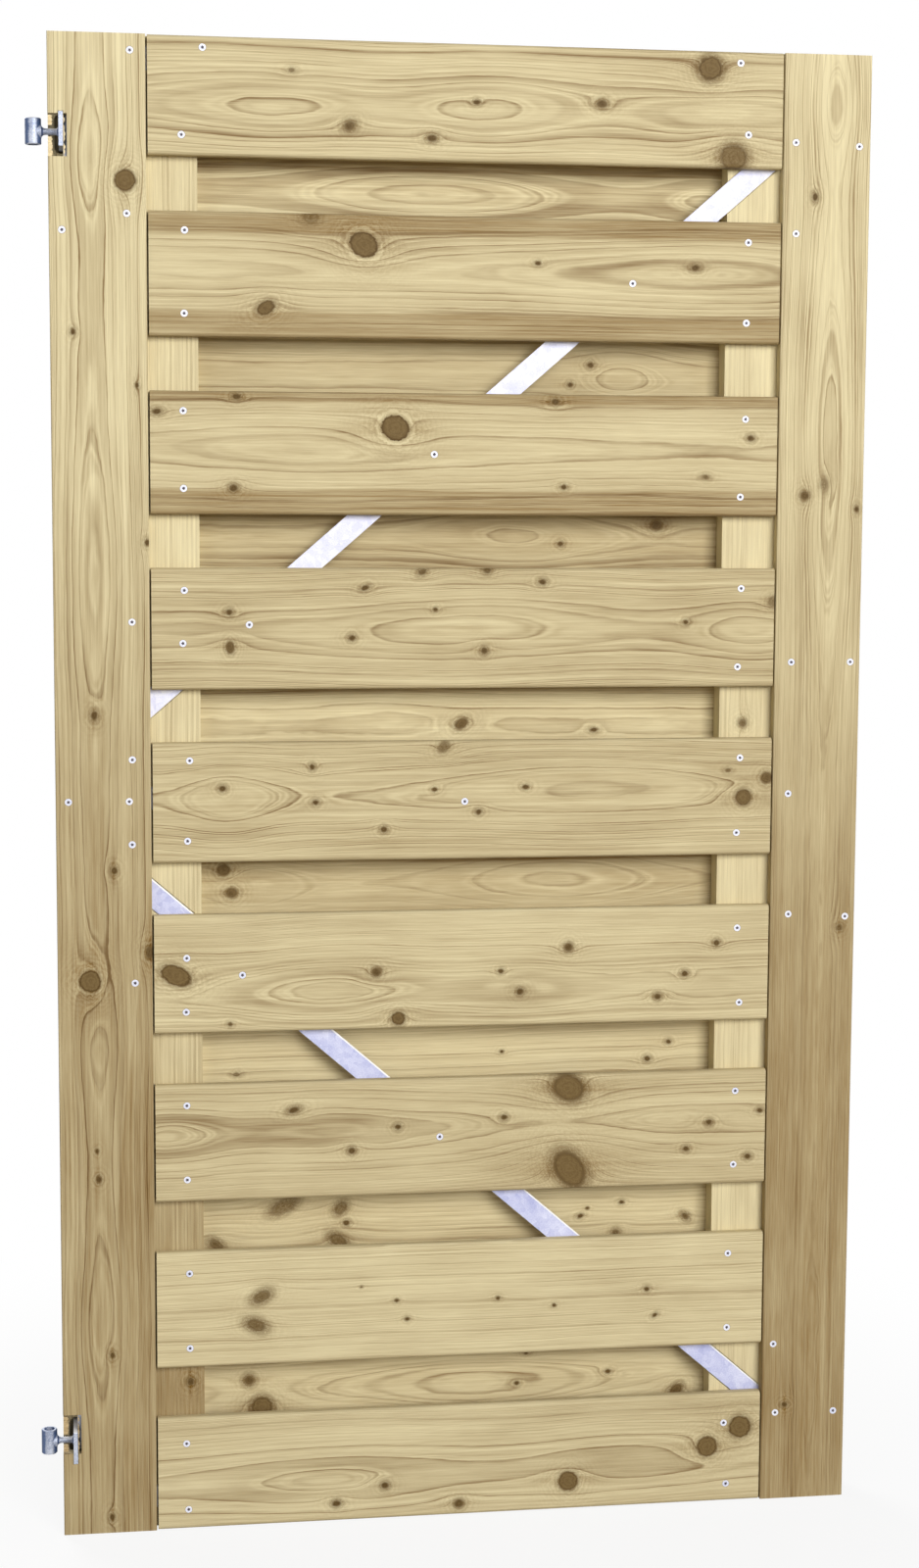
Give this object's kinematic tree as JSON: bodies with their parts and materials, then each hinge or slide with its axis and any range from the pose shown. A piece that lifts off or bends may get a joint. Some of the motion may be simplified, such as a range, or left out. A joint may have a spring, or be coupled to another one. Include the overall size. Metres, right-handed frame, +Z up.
{
  "type": "plank garden door leaf on a galvanised steel frame",
  "caption": "Garden door leaf of horizontal planks on both faces of a galvanised steel frame with diagonal braces, with welded hinge eyes to hang it on pins.",
  "frame": {"origin": "on the hinge axis, at the bottom end face of the lower hinge eye, where it rests on its pin's collar", "axes": "+Z up, along the hinge axis and the height of the door; +X from the hinge edge to the latch edge; -Y is the front face seen in the picture, +Y the rear"},
  "size_m": [1.0115, 0.063, 1.8],
  "materials": {
    "board_wood": "planed, pressure-treated softwood",
    "stile_wood": "planed, pressure-treated softwood",
    "batten_wood": "planed, pressure-treated softwood",
    "galvanised_steel": "hot-dip galvanised"
  },
  "bodies": {
    "root": {"front_stile_hinge_side": "stile_wood", "front_stile_latch_side": "stile_wood", "rear_stile_hinge_side": "stile_wood", "rear_stile_latch_side": "stile_wood", "front_board_1": "board_wood", "front_board_2": "board_wood", "front_board_3": "board_wood", "front_board_4": "board_wood", "front_board_5": "board_wood", "front_board_6": "board_wood", "front_board_7": "board_wood", "front_board_8": "board_wood", "front_board_9": "board_wood", "rear_board_1": "board_wood", "rear_board_2": "board_wood", "rear_board_3": "board_wood", "rear_board_4": "board_wood", "rear_board_5": "board_wood", "rear_board_6": "board_wood", "rear_board_7": "board_wood", "rear_board_8": "board_wood", "batten_hinge_side": "batten_wood", "batten_latch_side": "batten_wood", "frame_upright_hinge_side": "galvanised_steel", "frame_upright_latch_side": "galvanised_steel", "frame_rail_top": "galvanised_steel", "frame_rail_middle": "galvanised_steel", "frame_rail_bottom": "galvanised_steel", "brace_upper": "galvanised_steel", "brace_lower": "galvanised_steel", "hinge_upper": "galvanised_steel", "hinge_lower": "galvanised_steel"}
  },
  "joints": []
}
